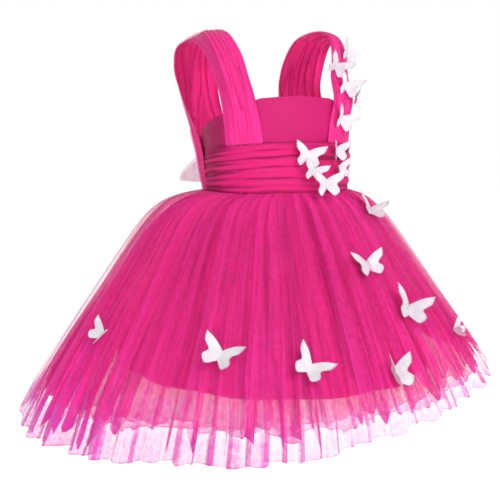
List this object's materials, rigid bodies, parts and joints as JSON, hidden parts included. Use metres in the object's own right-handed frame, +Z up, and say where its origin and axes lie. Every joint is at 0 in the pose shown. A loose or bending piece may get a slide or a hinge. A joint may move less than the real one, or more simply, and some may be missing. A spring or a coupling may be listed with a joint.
{
  "type": "toddler party dress",
  "caption": "Sleeveless toddler party dress with a satin bodice, gathered tulle straps, a ruched waist, a full tulle skirt, a back bow and white cloth butterflies.",
  "frame": {"origin": "midway between the shoulders, level with the tops of the straps", "axes": "+Z up, -Y towards the front of the dress, +X towards the wearer's left"},
  "size_m": [0.595, 0.5935, 0.4804],
  "materials": {
    "satin_bodice": "matte hot pink satin",
    "satin_skirt": "matte hot pink satin lining",
    "tulle_gathered": "gathered hot pink tulle",
    "tulle_skirt": "sheer hot pink tulle",
    "tulle_bow": "very sheer pink tulle",
    "butterfly_cloth": "white stiffened cloth"
  },
  "bodies": {
    "root": {"bodice_front": "satin_bodice", "bodice_back_left": "satin_bodice", "bodice_back_right": "satin_bodice", "strap_left": "tulle_gathered", "strap_right": "tulle_gathered", "sash_front": "tulle_gathered", "skirt_lining": "satin_skirt", "skirt_tulle_short": "tulle_skirt", "skirt_tulle_long": "tulle_skirt", "bow_loop_left": "tulle_bow", "bow_loop_right": "tulle_bow", "bow_knot": "tulle_bow", "butterfly_strap_1": "butterfly_cloth", "butterfly_strap_2": "butterfly_cloth", "butterfly_strap_3": "butterfly_cloth", "butterfly_strap_4": "butterfly_cloth", "butterfly_strap_5": "butterfly_cloth", "butterfly_waist_1": "butterfly_cloth", "butterfly_waist_2": "butterfly_cloth", "butterfly_waist_3": "butterfly_cloth", "butterfly_waist_4": "butterfly_cloth", "butterfly_waist_5": "butterfly_cloth", "butterfly_skirt_1": "butterfly_cloth", "butterfly_skirt_2": "butterfly_cloth", "butterfly_skirt_3": "butterfly_cloth", "butterfly_skirt_4": "butterfly_cloth", "butterfly_skirt_5": "butterfly_cloth", "butterfly_skirt_6": "butterfly_cloth", "butterfly_skirt_7": "butterfly_cloth", "butterfly_skirt_8": "butterfly_cloth"}
  },
  "joints": []
}
